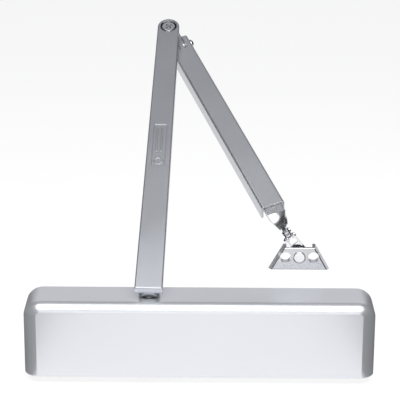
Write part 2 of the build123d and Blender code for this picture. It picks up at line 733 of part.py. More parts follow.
with BuildPart() as main_arm:
    with BuildSketch(arm_plane.offset(-arm_thickness)):
        with BuildLine():
            tip = arm_tip_width / 2
            Polyline((-tip, arm_length), (-arm_root_width / 2, 0), (arm_root_width / 2, 0), (tip, arm_length))
            ThreePointArc((-tip, arm_length), (0, arm_length + tip), (tip, arm_length))
        make_face()
    extrude(amount=arm_thickness)
    bar_top = main_arm.faces().sort_by(lambda face: face.center().dot(arm_normal))[-1]
    fillet(bar_top.edges(), radius=arm_edge_radius)
    add(arm_boss.part)
    with BuildSketch(hub_plane):
        Rectangle(square_across + 2 * square_clearance, square_across + 2 * square_clearance)
    extrude(amount=socket_depth, mode=Mode.SUBTRACT)
    with BuildSketch(Plane(origin=(pinion_x, bore_y, hub_bottom + hub_height / 2),
                           x_dir=arm_side, z_dir=arm_level)):
        Circle(set_screw_radius)
    extrude(amount=hub_radius + 1, mode=Mode.SUBTRACT)
    with BuildSketch(arm_plane.offset(-arm_thickness - 1)):
        with Locations((0, arm_length)):
            Circle(elbow_screw_radius + pivot_clearance)
    extrude(amount=arm_thickness + 2, mode=Mode.SUBTRACT)
    with BuildSketch(arm_plane):
        with Locations((0, arm_length)):
            Circle(elbow_dish_radius)
    extrude(amount=-elbow_dish_depth, mode=Mode.SUBTRACT)
    with BuildSketch(arm_plane.offset(-elbow_dish_depth)):
        with Locations((0, arm_length)):
            Circle(elbow_head_radius + elbow_head_clearance)
    extrude(amount=-elbow_head_depth, taper=45, mode=Mode.SUBTRACT)
    with BuildSketch(arm_plane.offset(-panel_depth)):
        with Locations((0, arm_length - panel_from_elbow)):
            RectangleRounded(panel_width, panel_length, 1.5)
            with Locations((0, -panel_length / 2 + panel_width * 0.6)):
                Circle(panel_width * 0.36, mode=Mode.SUBTRACT)
                Circle(panel_width * 0.25)
            for line_x in (-panel_width * 0.22, panel_width * 0.14):
                with Locations((line_x, panel_length * 0.14)):
                    SlotOverall(panel_length * 0.56, 1.6, rotation=90, mode=Mode.SUBTRACT)
    extrude(amount=panel_depth + 1, mode=Mode.SUBTRACT)
write(main_arm, "main_arm")

with BuildPart() as hub_set_screw:
    with BuildSketch(Plane(origin=(pinion_x, bore_y, hub_bottom + hub_height / 2),
                           x_dir=arm_side, z_dir=arm_level).offset(square_across / 2 + socket_spare)):
        Circle(set_screw_radius - thread_clearance)
    extrude(amount=hub_radius - set_screw_inset - square_across / 2 - socket_spare)
    with BuildSketch(Plane(origin=(pinion_x, bore_y, hub_bottom + hub_height / 2),
                           x_dir=arm_side, z_dir=arm_level).offset(hub_radius - set_screw_inset)):
        RegularPolygon(set_screw_socket, 6, major_radius=False)
    extrude(amount=-set_screw_socket_depth, mode=Mode.SUBTRACT)
write(hub_set_screw, "hub_set_screw")

# --- Elbow: countersunk pivot screw, washer, bush, knuckle and nut --------------------------
shank_end = knuckle_bottom - elbow_nut_height - elbow_screw_past
with BuildPart() as elbow_screw:
    with BuildSketch(elbow_frame.offset(-elbow_dish_depth)):
        Circle(elbow_head_radius)
    extrude(amount=-elbow_head_depth, taper=45)
    with BuildSketch(elbow_frame.offset(-elbow_dish_depth)):
        Circle(elbow_head_radius)
    extrude(amount=elbow_head_dome, taper=40)
    with BuildSketch(elbow_frame.offset(-elbow_dish_depth)):
        Circle(elbow_screw_radius)
    extrude(amount=shank_end + elbow_dish_depth)
    for turn in (elbow_cross_turn, elbow_cross_turn + 90):
        with BuildSketch(elbow_frame.offset(-elbow_dish_depth + elbow_head_dome + 0.1)):
            Rectangle(elbow_cross_length, elbow_cross_width, rotation=turn)
        extrude(amount=-elbow_cross_depth, taper=12, mode=Mode.SUBTRACT)
write(elbow_screw, "elbow_screw")

with BuildPart() as elbow_washer:
    with BuildSketch(elbow_frame.offset(knuckle_top + 0.02)):
        Circle(knuckle_radius)
        Circle(elbow_screw_radius + pivot_clearance, mode=Mode.SUBTRACT)
    extrude(amount=elbow_washer_thickness - 0.04)
write(elbow_washer, "elbow_washer")

bush_radius = elbow_screw_radius + bush_wall
with BuildPart() as elbow_bush:
    with BuildSketch(elbow_frame.offset(knuckle_bottom)):
        Circle(bush_radius)
        Circle(elbow_screw_radius + pivot_clearance, mode=Mode.SUBTRACT)
    extrude(amount=knuckle_height - knuckle_gap)
write(elbow_bush, "elbow_bush")

with BuildPart() as elbow_nut:
    with BuildSketch(elbow_frame.offset(knuckle_bottom - knuckle_gap)):
        RegularPolygon(elbow_nut_across / 2, 6, major_radius=False)
        Circle(elbow_screw_radius, mode=Mode.SUBTRACT)
    extrude(amount=-elbow_nut_height)
    chamfer(elbow_nut.faces().sort_by(lambda face: face.center().dot(arm_normal))[0].outer_wire().edges(),
            length=elbow_nut_chamfer)
write(elbow_nut, "elbow_nut")

with BuildPart() as elbow_knuckle:
    with BuildSketch(elbow_frame.offset(knuckle_bottom)):
        Circle(knuckle_radius)
    extrude(amount=knuckle_height - knuckle_gap)
    tongue_plane = Plane(origin=elbow_frame.from_local_coords(
        Vector(forearm_offset - knuckle_tongue_half, 0, bolt_level)), x_dir=-knuckle_line, z_dir=forearm_side)
    with BuildSketch(tongue_plane):
        with Locations((-bolt_reach / 2, 0)):
            Rectangle(bolt_reach, 2 * knuckle_tongue_radius)
        with Locations((-bolt_reach, 0)):
            Circle(knuckle_tongue_radius)
    extrude(amount=2 * knuckle_tongue_half)
    with BuildSketch(elbow_frame.offset(knuckle_bottom - 10)):
        Circle(bush_radius)
    extrude(amount=30, mode=Mode.SUBTRACT)
    with BuildSketch(elbow_frame.offset(knuckle_bottom)):
        Circle(elbow_nut_across * elbow_nut_pocket)
    extrude(amount=-10, mode=Mode.SUBTRACT)
    with BuildSketch(tongue_plane):
        with Locations((-bolt_reach, 0)):
            Circle(bolt_radius + pivot_clearance)
    extrude(amount=2 * knuckle_tongue_half, mode=Mode.SUBTRACT)
write(elbow_knuckle, "elbow_knuckle")

# --- Forearm channel: folded strip, slit at the elbow end for the knuckle -------------------
with BuildPart() as forearm_channel:
    with BuildSketch(Plane(origin=forearm_plane.from_local_coords(
            Vector(forearm_offset, channel_end_y, web_top)), x_dir=forearm_side, z_dir=forearm_line)):
        with Locations((0, -channel_depth / 2)):
            outside = Rectangle(channel_width, channel_depth)
        fillet(outside.vertices().group_by(Axis.Y)[-1], radius=channel_corner)
        with BuildSketch(mode=Mode.PRIVATE) as hollow:
            with Locations((0, -channel_depth / 2 - channel_wall)):
                inside = Rectangle(channel_width - 2 * channel_wall, channel_depth)
            fillet(inside.vertices().group_by(Axis.Y)[-1], radius=channel_corner - channel_wall)
        add(hollow.sketch, mode=Mode.SUBTRACT)
    extrude(amount=channel_length)
    with BuildSketch(forearm_plane.offset(web_under - 0.2)):
        for slit_side in (-1, 1):
            with Locations((forearm_offset + slit_side * slit_spacing / 2, channel_end_y - slit_length / 2)):
                RectangleRounded(slit_width, slit_length, slit_width * 0.3)
                with Locations((0, slit_length / 2)):
                    Rectangle(slit_width, slit_length / 2)
    extrude(amount=channel_wall + 1, mode=Mode.SUBTRACT)
    with BuildSketch(tongue_plane.offset(-channel_width)):
        with Locations((-bolt_reach, 0)):
            Circle(bolt_radius)
    extrude(amount=3 * channel_width, mode=Mode.SUBTRACT)
write(forearm_channel, "forearm_channel")

# --- Cross bolt: domed head on one flange, nut on the other --------------------------------
bolt_plane = tongue_plane.offset(knuckle_tongue_half + channel_width / 2)
with BuildPart() as cross_bolt:
    with BuildSketch(bolt_plane):
        with Locations((-bolt_reach, 0)):
            Circle(bolt_head_radius)
    extrude(amount=bolt_head_height)
    fillet(cross_bolt.edges().sort_by(lambda edge: edge.center().dot(forearm_side))[-1],
           radius=bolt_head_height * 0.85)
    with BuildSketch(bolt_plane):
        with Locations((-bolt_reach, 0)):
            Circle(bolt_radius)
    extrude(amount=-channel_width - bolt_nut_length - bolt_past)
write(cross_bolt, "cross_bolt")

with BuildPart() as cross_bolt_nut:
    with BuildSketch(bolt_plane.offset(-channel_width)):
        with Locations((-bolt_reach, 0)):
            RegularPolygon(bolt_nut_across / 2, 6, major_radius=False)
            Circle(bolt_radius, mode=Mode.SUBTRACT)
    extrude(amount=-bolt_nut_length)
write(cross_bolt_nut, "cross_bolt_nut")

# --- Slider: flat bar in the channel, twisted at its end into an eye ------------------------
shown_end_y = channel_end_y - channel_length - slider_shown
upper_pin_y = -bolt_reach - upper_pin_reach
blade_start_y = upper_pin_y + blade_width * 0.75


def slider_section(y, turn):
    """Plane across the slider at y, turned about the slider's own line."""
    origin = forearm_plane.from_local_coords(Vector(forearm_offset, y, slider_level))
    across = forearm_side * cos(radians(turn)) - forearm_normal * sin(radians(turn))
    return Plane(origin=origin, x_dir=across, z_dir=forearm_line)


with BuildPart() as forearm_slider:
    with BuildSketch(slider_section(shown_end_y, 0)):
        RectangleRounded(slider_width, slider_thickness, slider_corner)
    extrude(amount=-slider_shown - slider_hidden)
    for step in range(4):
        share = step / 3
        section_y = shown_end_y + (blade_start_y - shown_end_y) * share
        with BuildSketch(slider_section(section_y, blade_twist * share)):
            Rectangle(slider_width + (blade_width - slider_width) * share,
                      slider_thickness + (blade_thickness - slider_thickness) * share)
    loft()
    eye_plane = Plane(origin=upper_pin - pin_line * blade_thickness / 2, x_dir=forearm_line, z_dir=pin_line)
    with BuildSketch(eye_plane):
        with Locations(((upper_pin_y - blade_start_y) / 2, 0)):
            Rectangle(blade_start_y - upper_pin_y, blade_width)
        Circle(blade_width / 2)
    extrude(amount=blade_thickness)
    with BuildSketch(eye_plane.offset(-1)):
        Circle(foot_pin_radius + pivot_clearance)
    extrude(amount=blade_thickness + 2, mode=Mode.SUBTRACT)
write(forearm_slider, "forearm_slider")

# --- Length clamp: bridge between the flanges and a screw against the slider ---------------
clamp_y = channel_end_y - channel_length + clamp_from_end
clamp_top = slider_top - slider_thickness - slide_clearance
with BuildPart() as clamp_bridge:
    with BuildSketch(forearm_plane.offset(clamp_top - clamp_bridge_height)):
        with Locations((forearm_offset, clamp_y)):
            Rectangle(channel_width - 2 * channel_wall, clamp_bridge_length)
            Circle(clamp_radius, mode=Mode.SUBTRACT)
    extrude(amount=clamp_bridge_height)
write(clamp_bridge, "clamp_bridge")

with BuildPart() as clamp_screw:
    with BuildSketch(forearm_plane.offset(clamp_top - clamp_bridge_height)):
        with Locations((forearm_offset, clamp_y)):
            Circle(clamp_radius)
    extrude(amount=clamp_bridge_height)
    with BuildSketch(forearm_plane.offset(clamp_top - clamp_bridge_height)):
        with Locations((forearm_offset, clamp_y)):
            RegularPolygon(clamp_head_across / 2, 6, major_radius=False)
    extrude(amount=-clamp_head_height)
write(clamp_screw, "clamp_screw")

# --- Foot pins and link plates --------------------------------------------------------------
link_inner = blade_thickness / 2 + link_gap
link_outer = link_inner + link_thickness
fork_inner = link_outer + link_gap
fork_outer = fork_inner + fork_thickness
pin_frame = Plane(origin=lower_pin, x_dir=-forearm_line, z_dir=pin_line)
with BuildPart() as link_plates:
    for side in (-1, 1):
        with BuildSketch(pin_frame.offset(side * link_inner)):
            with Locations((link_length / 2, 0)):
                Rectangle(link_length, 2 * link_radius)
            with Locations((0, 0), (link_length, 0)):
                Circle(link_radius)
                Circle(foot_pin_radius, mode=Mode.SUBTRACT)
        extrude(amount=side * link_thickness)
write(link_plates, "link_plates")

for name, along, grip in (("upper_foot_pin", link_length, link_outer),
                          ("lower_foot_pin", 0, fork_outer + link_gap)):
    with BuildPart() as foot_pin:
        with BuildSketch(pin_frame.offset(-grip)):
            with Locations((along, 0)):
                Circle(foot_pin_radius)
        extrude(amount=2 * grip)
        for side in (-1, 1):
            with BuildSketch(pin_frame.offset(side * grip)):
                with Locations((along, 0)):
                    Circle(foot_pin_head)
            extrude(amount=side * foot_pin_head_length, taper=20)
    write(foot_pin, name)

# --- Foot fork: two cheeks folded forward from a tab behind the plate ----------------------
fork_frame = Plane(origin=lower_pin, x_dir=fork_line, z_dir=pin_line)
with BuildPart() as foot_fork:
    tab_plane = Plane(origin=rivet_point, x_dir=pin_line, z_dir=(0, -1, 0))
    with BuildSketch(tab_plane.offset(-tab_back)):
        Circle(rivet_shank_radius + tab_wall)
        with Locations((fork_pin_side, fork_pin_rise * 0.3)):
            Rectangle(2 * fork_outer, fork_pin_rise * 0.6)
    extrude(amount=tab_back - tab_front)
    for side in (-1, 1):
        with BuildSketch(fork_frame.offset(side * fork_inner)):
            Circle(cheek_radius)
            with Locations((-fork_pin_rise * cheek_share / 2, 0)):
                Rectangle(fork_pin_rise * cheek_share, 2 * cheek_radius)
        extrude(amount=side * fork_thickness)
    with BuildSketch(fork_frame.offset(-fork_outer - 1)):
        Circle(foot_pin_radius + pivot_clearance)
    extrude(amount=2 * fork_outer + 2, mode=Mode.SUBTRACT)
    with BuildSketch(foot_plane.offset(-1)):
        Circle(rivet_shank_radius + pivot_clearance)
    extrude(amount=foot_depth, mode=Mode.SUBTRACT)
write(foot_fork, "foot_fork")

# --- Foot plate: pressed trapezium, hollow behind, with two screw bosses --------------------
def foot_outline(inset):
    """Corners of the trapezium, drawn in by inset."""
    lean = (foot_bottom_width - foot_top_width) / 2 / (foot_below + foot_above)
    side_inset = inset * sqrt(1 + lean * lean)
    low, high = -foot_below + inset, foot_above - inset
    low_half = foot_bottom_width / 2 - lean * inset - side_inset
    high_half = foot_top_width / 2 + lean * inset - side_inset
    return [(-low_half, low), (low_half, low), (high_half, high), (-high_half, high)]


with BuildPart() as foot_plate:
    with BuildSketch(foot_plane):
        with BuildLine():
            Polyline(*foot_outline(0), close=True)
        make_face()
    extrude(amount=foot_depth, taper=foot_draft)
    front_edges = foot_plate.faces().sort_by(Axis.Y)[0].edges()
    fillet(front_edges, radius=foot_edge_radius)
    with BuildSketch(foot_plane):
        with BuildLine():
            Polyline(*foot_outline(foot_wall), close=True)
        make_face()
    extrude(amount=foot_depth - foot_wall, taper=foot_draft, mode=Mode.SUBTRACT)
    with BuildSketch(foot_plane):
        with Locations((0, foot_above)):
            Rectangle(foot_top_width - 2 * foot_wall - 1, 2 * foot_wall + foot_mouth_spare)
    extrude(amount=foot_depth - foot_wall, mode=Mode.SUBTRACT)
    with BuildSketch(foot_plane):
        with Locations((-foot_hole_spacing / 2, 0), (foot_hole_spacing / 2, 0)):
            Circle(foot_hole_radius + foot_boss_wall)
    extrude(amount=foot_depth - foot_wall / 2)
    with BuildSketch(foot_plane.offset(-tab_front + slide_clearance)):
        Circle(rivet_shank_radius + rivet_collar)
    extrude(amount=foot_depth + tab_front - slide_clearance - foot_wall / 2)
    with BuildSketch(foot_plane):
        with Locations((-foot_hole_spacing / 2, 0), (foot_hole_spacing / 2, 0)):
            Circle(foot_hole_radius)
    extrude(amount=foot_depth + 1, mode=Mode.SUBTRACT)
    with BuildSketch(foot_plane):
        Circle(rivet_shank_radius)
    extrude(amount=foot_depth + 1, mode=Mode.SUBTRACT)
    with BuildSketch(foot_plane.offset(foot_depth)):
        Circle(rivet_head_radius + rivet_seat_clearance)
    extrude(amount=-rivet_seat, mode=Mode.SUBTRACT)
write(foot_plate, "foot_plate")

with BuildPart() as foot_rivet:
    with BuildSketch(foot_plane.offset(foot_depth - rivet_seat)):
        Circle(rivet_head_radius)
    extrude(amount=rivet_seat + rivet_stand)
    fillet(foot_rivet.edges().sort_by(Axis.Y)[0], radius=rivet_edge_radius)
    with BuildSketch(foot_plane.offset(foot_depth - rivet_seat)):
        Circle(rivet_shank_radius)
    extrude(amount=rivet_seat - foot_depth + rivet_tail_gap)
    with BuildSketch(foot_plane.offset(rivet_tail_gap)):
        Circle(rivet_shank_radius + rivet_collar)
    extrude(amount=-tab_back - rivet_tail_length)
write(foot_rivet, "foot_rivet")
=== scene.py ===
"""Looks of a surface-mounted door closer: painted cover and arms, bright plated joints and foot."""
from math import pi, radians

import bpy
from mathutils import Matrix, Vector


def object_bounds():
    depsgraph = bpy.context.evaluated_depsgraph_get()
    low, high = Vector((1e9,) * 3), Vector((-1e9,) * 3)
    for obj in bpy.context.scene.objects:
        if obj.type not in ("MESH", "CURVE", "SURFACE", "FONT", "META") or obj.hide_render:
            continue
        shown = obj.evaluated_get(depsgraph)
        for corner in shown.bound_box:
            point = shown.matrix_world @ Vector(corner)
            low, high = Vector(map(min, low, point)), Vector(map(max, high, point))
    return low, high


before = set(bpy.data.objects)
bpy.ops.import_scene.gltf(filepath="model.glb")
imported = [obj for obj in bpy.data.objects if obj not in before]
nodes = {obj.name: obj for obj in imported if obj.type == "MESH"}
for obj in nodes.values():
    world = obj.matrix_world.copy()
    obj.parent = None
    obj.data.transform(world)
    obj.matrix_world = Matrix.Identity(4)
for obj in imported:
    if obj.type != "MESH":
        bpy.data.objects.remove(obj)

cad_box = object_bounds()
bpy.ops.object.select_all(action="DESELECT")


# --- Camera ---------------------------------------------------------------------------------
# A long lens in front of the cover, a little above it, so both long faces of the cover show.
camera_place = Vector((0.0040, -1.3995, 0.5869))
camera_down = radians(18.53)
camera_yaw = radians(0.17)
camera_roll = radians(0.31)

bpy.ops.object.camera_add(location=camera_place)
camera = bpy.context.object
camera.name = "camera"
turn = Matrix.Rotation(camera_yaw, 4, "Z") @ Matrix.Rotation(pi / 2 - camera_down, 4, "X")
camera.matrix_world = Matrix.Translation(camera_place) @ turn @ Matrix.Rotation(camera_roll, 4, "Z")
camera.data.lens = 149.16
camera.data.clip_end = 20
bpy.context.scene.camera = camera


# --- Floor and light -------------------------------------------------------------------------
# A plain pale floor just under the part, a long soft light above and in front of it, and a
# surround that is pale behind, grey overhead and dark at both sides, for the metal to reflect.
floor_gap = 0.001

bpy.ops.mesh.primitive_plane_add(size=14, location=(0, 2, cad_box[0][2] - floor_gap))
floor = bpy.context.object
floor.name = "floor"
floor_white = bpy.data.materials.new("floor_white")
floor_white.use_nodes = True
shader = floor_white.node_tree.nodes["Principled BSDF"]
shader.inputs["Base Color"].default_value = (0.28, 0.28, 0.283, 1)
shader.inputs["Roughness"].default_value = 0.9
shader.inputs["Specular IOR Level"].default_value = 0.1
shader.inputs["Emission Color"].default_value = (1, 1, 1, 1)
shader.inputs["Emission Strength"].default_value = 0.84
floor.data.materials.append(floor_white)


def tone_ramp(tree, value, stops):
    """Grey levels along a value, one pair of position and level for each stop."""
    node = tree.nodes.new("ShaderNodeValToRGB")
    tree.links.new(value, node.inputs[0])
    elements = node.color_ramp.elements
    for place, (position, level) in enumerate(stops):
        stop = elements[place] if place < 2 else elements.new(position)
        stop.position = position
        stop.color = (level, level, level * 1.02, 1)
    return node.outputs[0]


surround = bpy.data.worlds.new("surround")
surround.use_nodes = True
tree = surround.node_tree
split = tree.nodes.new("ShaderNodeSeparateXYZ")
tree.links.new(tree.nodes.new("ShaderNodeTexCoord").outputs["Generated"], split.inputs[0])
sideways = tree.nodes.new("ShaderNodeMath")
sideways.operation = "ABSOLUTE"
tree.links.new(split.outputs["X"], sideways.inputs[0])
by_height = tone_ramp(tree, split.outputs["Z"], [(0.0, 0.20), (1.0, 0.42), (0.20, 0.62), (0.42, 0.80),
                                                 (0.54, 0.45), (0.66, 0.13), (0.82, 0.22)])
by_side = tone_ramp(tree, sideways.outputs[0], [(0.25, 1.0), (0.80, 0.05), (0.52, 0.30)])
both = tree.nodes.new("ShaderNodeMixRGB")
both.blend_type = "MULTIPLY"
both.inputs[0].default_value = 1
tree.links.new(by_height, both.inputs[1])
tree.links.new(by_side, both.inputs[2])
seen = tree.nodes.new("ShaderNodeMixRGB")
seen.inputs[2].default_value = (1, 1, 1, 1)
tree.links.new(tree.nodes.new("ShaderNodeLightPath").outputs["Is Camera Ray"], seen.inputs[0])
tree.links.new(both.outputs[0], seen.inputs[1])
tree.links.new(seen.outputs[0], tree.nodes["Background"].inputs[0])
bpy.context.scene.world = surround
bpy.context.scene.view_settings.view_transform = "Standard"


def soft_light(name, place, aim, size, watts):
    """A rectangular studio light that points from its place to what it lights."""
    bpy.ops.object.light_add(type="AREA", location=place)
    lamp = bpy.context.object
    lamp.name = name
    lamp.data.shape = "RECTANGLE"
    lamp.data.size, lamp.data.size_y = size
    lamp.data.energy = watts
    lamp.visible_camera = False
    lamp.rotation_euler = (Vector(aim) - Vector(place)).to_track_quat("-Z", "Y").to_euler()


soft_light("front_top", (0.02, -0.36, 0.86), (0.02, -0.03, 0), (1.2, 0.74), 10)
soft_light("front_fill", (0.0, -2.6, 0.9), (0, 0, 0.05), (1.6, 0.9), 4.5)

# Grey cards close to both ends: the paint reflects them, but no camera sees them or their shadow.
card_size = (0.26, 0.55)
card_clear = 0.050
card_tilt = radians(21)
for name, side, grey in (("left_card", -1, 0.18), ("right_card", 1, 0.11)):
    card_x = side * (cad_box[1][0] + card_clear)
    bpy.ops.mesh.primitive_plane_add(size=1, location=(card_x, -0.19, 0.080),
                                     rotation=(0, pi / 2 + side * card_tilt, 0))
    card = bpy.context.object
    card.name = name
    card.scale = (*card_size, 1)
    card.visible_camera = False
    card.visible_shadow = False
    card.visible_diffuse = False
    card_grey = bpy.data.materials.new(name + "_grey")
    card_grey.use_nodes = True
    card_grey.node_tree.nodes["Principled BSDF"].inputs["Base Color"].default_value = (grey, grey, grey, 1)
    card_grey.node_tree.nodes["Principled BSDF"].inputs["Roughness"].default_value = 1
    card.data.materials.append(card_grey)


# --- Cover ------------------------------------------------------------------------------------
# The long cover is one shell of sheet metal with rounded ends, sprayed with silver powder paint.
# It is open at the back and below, and two clips inside hold it over the cylinder casting.
def effect(name, inputs, outputs):
    """An empty shader node group with named sockets, and its input and output nodes."""
    group = bpy.data.node_groups.new(name, "ShaderNodeTree")
    for label, kind, value in inputs:
        socket = group.interface.new_socket(label, in_out="INPUT", socket_type=kind)
        socket.default_value = value
    for label, kind in outputs:
        group.interface.new_socket(label, in_out="OUTPUT", socket_type=kind)
    return group, group.nodes.new("NodeGroupInput"), group.nodes.new("NodeGroupOutput")


def maths(tree, kind, first, second, clamp=False):
    """A Math node on two values, each either a socket or a number."""
    node = tree.nodes.new("ShaderNodeMath")
    node.operation = kind
    node.use_clamp = clamp
    for place, value in enumerate((first, second)):
        if isinstance(value, (int, float)):
            node.inputs[place].default_value = value
        else:
            tree.links.new(value, node.inputs[place])
    return node.outputs[0]


def cloud(tree, where, scale, detail=2.0, rough=0.5):
    """A noise value around 0.5 at that scale, in blobs per metre."""
    node = tree.nodes.new("ShaderNodeTexNoise")
    node.inputs["Detail"].default_value = detail
    node.inputs["Roughness"].default_value = rough
    tree.links.new(where, node.inputs["Vector"])
    if isinstance(scale, (int, float)):
        node.inputs["Scale"].default_value = scale
    else:
        tree.links.new(scale, node.inputs["Scale"])
    return node.outputs["Fac"]


def scaled_color(tree, color, amount):
    """A colour made lighter or darker by a value around 1."""
    node = tree.nodes.new("ShaderNodeVectorMath")
    node.operation = "SCALE"
    tree.links.new(color, node.inputs[0])
    tree.links.new(amount, node.inputs["Scale"])
    return node.outputs[0]


# Sprayed metallic paint: slow clouds in the tone, fine aluminium flake, and orange peel.
sprayed, into, out = effect(
    "sprayed_silver",
    [("Color", "NodeSocketColor", (0.7, 0.7, 0.72, 1)), ("Roughness", "NodeSocketFloat", 0.35),
     ("Clouds", "NodeSocketFloat", 0.05), ("Flake", "NodeSocketFloat", 0.08),
     ("Peel Scale", "NodeSocketFloat", 900.0)],
    [("Color", "NodeSocketColor"), ("Roughness", "NodeSocketFloat"), ("Height", "NodeSocketFloat")])
where = sprayed.nodes.new("ShaderNodeTexCoord").outputs["Object"]
slow = cloud(sprayed, where, 14.0, 3.0)
flake = cloud(sprayed, where, 5200.0, 1.0, 0.7)
peel = cloud(sprayed, where, into.outputs["Peel Scale"], 2.0)
slow_part = maths(sprayed, "MULTIPLY", maths(sprayed, "SUBTRACT", slow, 0.5), into.outputs["Clouds"])
flake_part = maths(sprayed, "MULTIPLY", maths(sprayed, "SUBTRACT", flake, 0.5), into.outputs["Flake"])
tone = maths(sprayed, "ADD", maths(sprayed, "ADD", slow_part, flake_part), 1.0)
sprayed.links.new(scaled_color(sprayed, into.outputs["Color"], tone), out.inputs["Color"])
rough = maths(sprayed, "ADD", into.outputs["Roughness"], maths(sprayed, "MULTIPLY", slow_part, 1.5))
sprayed.links.new(rough, out.inputs["Roughness"])
sprayed.links.new(peel, out.inputs["Height"])

# Rubbed edges and painted highlight: a mask that is high where the surface turns a corner, broken up by a
# noise. It lightens corners partly as wear and partly as a painted edge highlight.
worn_and_highlit, into, out = effect(
    "worn_and_highlit_edges",
    [("Width", "NodeSocketFloat", 0.0006), ("Patchiness", "NodeSocketFloat", 120.0)],
    [("Mask", "NodeSocketFloat"), ("Normal", "NodeSocketVector")])
bevel = worn_and_highlit.nodes.new("ShaderNodeBevel")
bevel.samples = 6
worn_and_highlit.links.new(into.outputs["Width"], bevel.inputs["Radius"])
facing = worn_and_highlit.nodes.new("ShaderNodeNewGeometry")
agree = worn_and_highlit.nodes.new("ShaderNodeVectorMath")
agree.operation = "DOT_PRODUCT"
worn_and_highlit.links.new(bevel.outputs[0], agree.inputs[0])
worn_and_highlit.links.new(facing.outputs["Normal"], agree.inputs[1])
corner = maths(worn_and_highlit, "MULTIPLY", maths(worn_and_highlit, "SUBTRACT", 1.0, agree.outputs["Value"]), 5.0, True)
where = worn_and_highlit.nodes.new("ShaderNodeTexCoord").outputs["Object"]
patches = cloud(worn_and_highlit, where, into.outputs["Patchiness"], 3.0, 0.6)
wear_and_highlight_mask = maths(worn_and_highlit, "MULTIPLY", corner, maths(worn_and_highlit, "MULTIPLY", patches, 1.6), True)
worn_and_highlit.links.new(wear_and_highlight_mask, out.inputs["Mask"])
worn_and_highlit.links.new(bevel.outputs[0], out.inputs["Normal"])


def place_group(tree, group, **values):
    """Puts an effect in a material, with its own values."""
    node = tree.nodes.new("ShaderNodeGroup")
    node.node_tree = group
    for label, value in values.items():
        node.inputs[label.replace("_", " ")].default_value = value
    return node


def coated_metal(name, color, wear_and_highlight_color, metallic, roughness, effect_values, edge_width, bump_depth):
    """Paint with flake and peel whose edges are lightened towards a second colour, partly as rubbed wear
    and partly as painted highlight.
    """
    material = bpy.data.materials.new(name)
    material.use_nodes = True
    tree = material.node_tree
    shader = tree.nodes["Principled BSDF"]
    coat = place_group(tree, sprayed, Color=color, Roughness=roughness, **effect_values)
    edge = place_group(tree, worn_and_highlit, Width=edge_width)
    # the edge mask mixes in a lighter colour: partly rubbed wear, partly a painted highlight on the edges
    mix = tree.nodes.new("ShaderNodeMixRGB")
    mix.inputs[2].default_value = wear_and_highlight_color
    tree.links.new(edge.outputs["Mask"], mix.inputs[0])
    tree.links.new(coat.outputs["Color"], mix.inputs[1])
    tree.links.new(mix.outputs[0], shader.inputs["Base Color"])
    tree.links.new(coat.outputs["Roughness"], shader.inputs["Roughness"])
    bump = tree.nodes.new("ShaderNodeBump")
    bump.inputs["Strength"].default_value = 0.35
    bump.inputs["Distance"].default_value = bump_depth
    tree.links.new(coat.outputs["Height"], bump.inputs["Height"])
    tree.links.new(edge.outputs["Normal"], bump.inputs["Normal"])
    tree.links.new(bump.outputs[0], shader.inputs["Normal"])
    shader.inputs["Metallic"].default_value = metallic
    return material


def dress(material, *names):
    """Gives CAD nodes a material."""
    for name in names:
        nodes[name].data.materials.clear()
        nodes[name].data.materials.append(material)


cover_silver = coated_metal("cover_silver", (0.74, 0.755, 0.79, 1), (0.82, 0.83, 0.85, 1), 0.75, 0.33,
                            {"Clouds": 0.05, "Flake": 0.10, "Peel_Scale": 1100.0}, 0.0005, 0.00003)
dress(cover_silver, "cover")


# --- Main arm ---------------------------------------------------------------------------------
# The main arm is a flat forged bar, cranked up at its root and squared onto the pinion shaft.
# It carries a recessed plain panel, and is sprayed with the same grey-silver enamel as the forearm, but
# its colour is set darker than the forearm's as painted shade.
# a darker copy of the forearm's enamel: painted shade on the main arm
arm_silver = coated_metal("arm_silver", (0.46, 0.475, 0.505, 1), (0.66, 0.67, 0.69, 1), 0.8, 0.31,
                          {"Clouds": 0.10, "Flake": 0.14, "Peel_Scale": 800.0}, 0.0006, 0.00004)
dress(arm_silver, "main_arm")

# The dished seat around the elbow screw's head is painted near-black as shade in the recess: a mask on the
# distance from the elbow's axis puts this painted shade in the paint's place there.
seat_radius = 0.0082
tree = arm_silver.node_tree
elbow_point, elbow_axis = (-0.0338919, 0.25487, 0.218933), (-0.020759, -0.514620, 0.857167)
offset = tree.nodes.new("ShaderNodeVectorMath")
offset.operation = "SUBTRACT"
offset.inputs[1].default_value = elbow_point
tree.links.new(tree.nodes.new("ShaderNodeTexCoord").outputs["Object"], offset.inputs[0])
crossed = tree.nodes.new("ShaderNodeVectorMath")
crossed.operation = "CROSS_PRODUCT"
crossed.inputs[1].default_value = elbow_axis
tree.links.new(offset.outputs[0], crossed.inputs[0])
reach = tree.nodes.new("ShaderNodeVectorMath")
reach.operation = "LENGTH"
tree.links.new(crossed.outputs[0], reach.inputs[0])
in_seat = maths(tree, "LESS_THAN", reach.outputs["Value"], seat_radius)
# near-black painted shade in the recess around the screw's head
painted_seat_shade = tree.nodes.new("ShaderNodeMixRGB")
painted_seat_shade.inputs[2].default_value = (0.012, 0.012, 0.013, 1)
painted = tree.nodes["Principled BSDF"].inputs["Base Color"].links[0].from_socket
tree.links.new(in_seat, painted_seat_shade.inputs[0])
tree.links.new(painted, painted_seat_shade.inputs[1])
tree.links.new(painted_seat_shade.outputs[0], tree.nodes["Principled BSDF"].inputs["Base Color"])


# --- Forearm ----------------------------------------------------------------------------------
# The forearm is a pressed steel channel, open below, with a cast knuckle at the elbow end and a
# clamp bridge that grips the slider. All three are sprayed silver.
forearm_silver = coated_metal("forearm_silver", (0.54, 0.555, 0.585, 1), (0.74, 0.75, 0.77, 1), 0.8, 0.30,
                              {"Clouds": 0.08, "Flake": 0.12, "Peel_Scale": 900.0}, 0.0005, 0.00003)
dress(forearm_silver, "forearm_channel", "elbow_knuckle", "clamp_bridge")


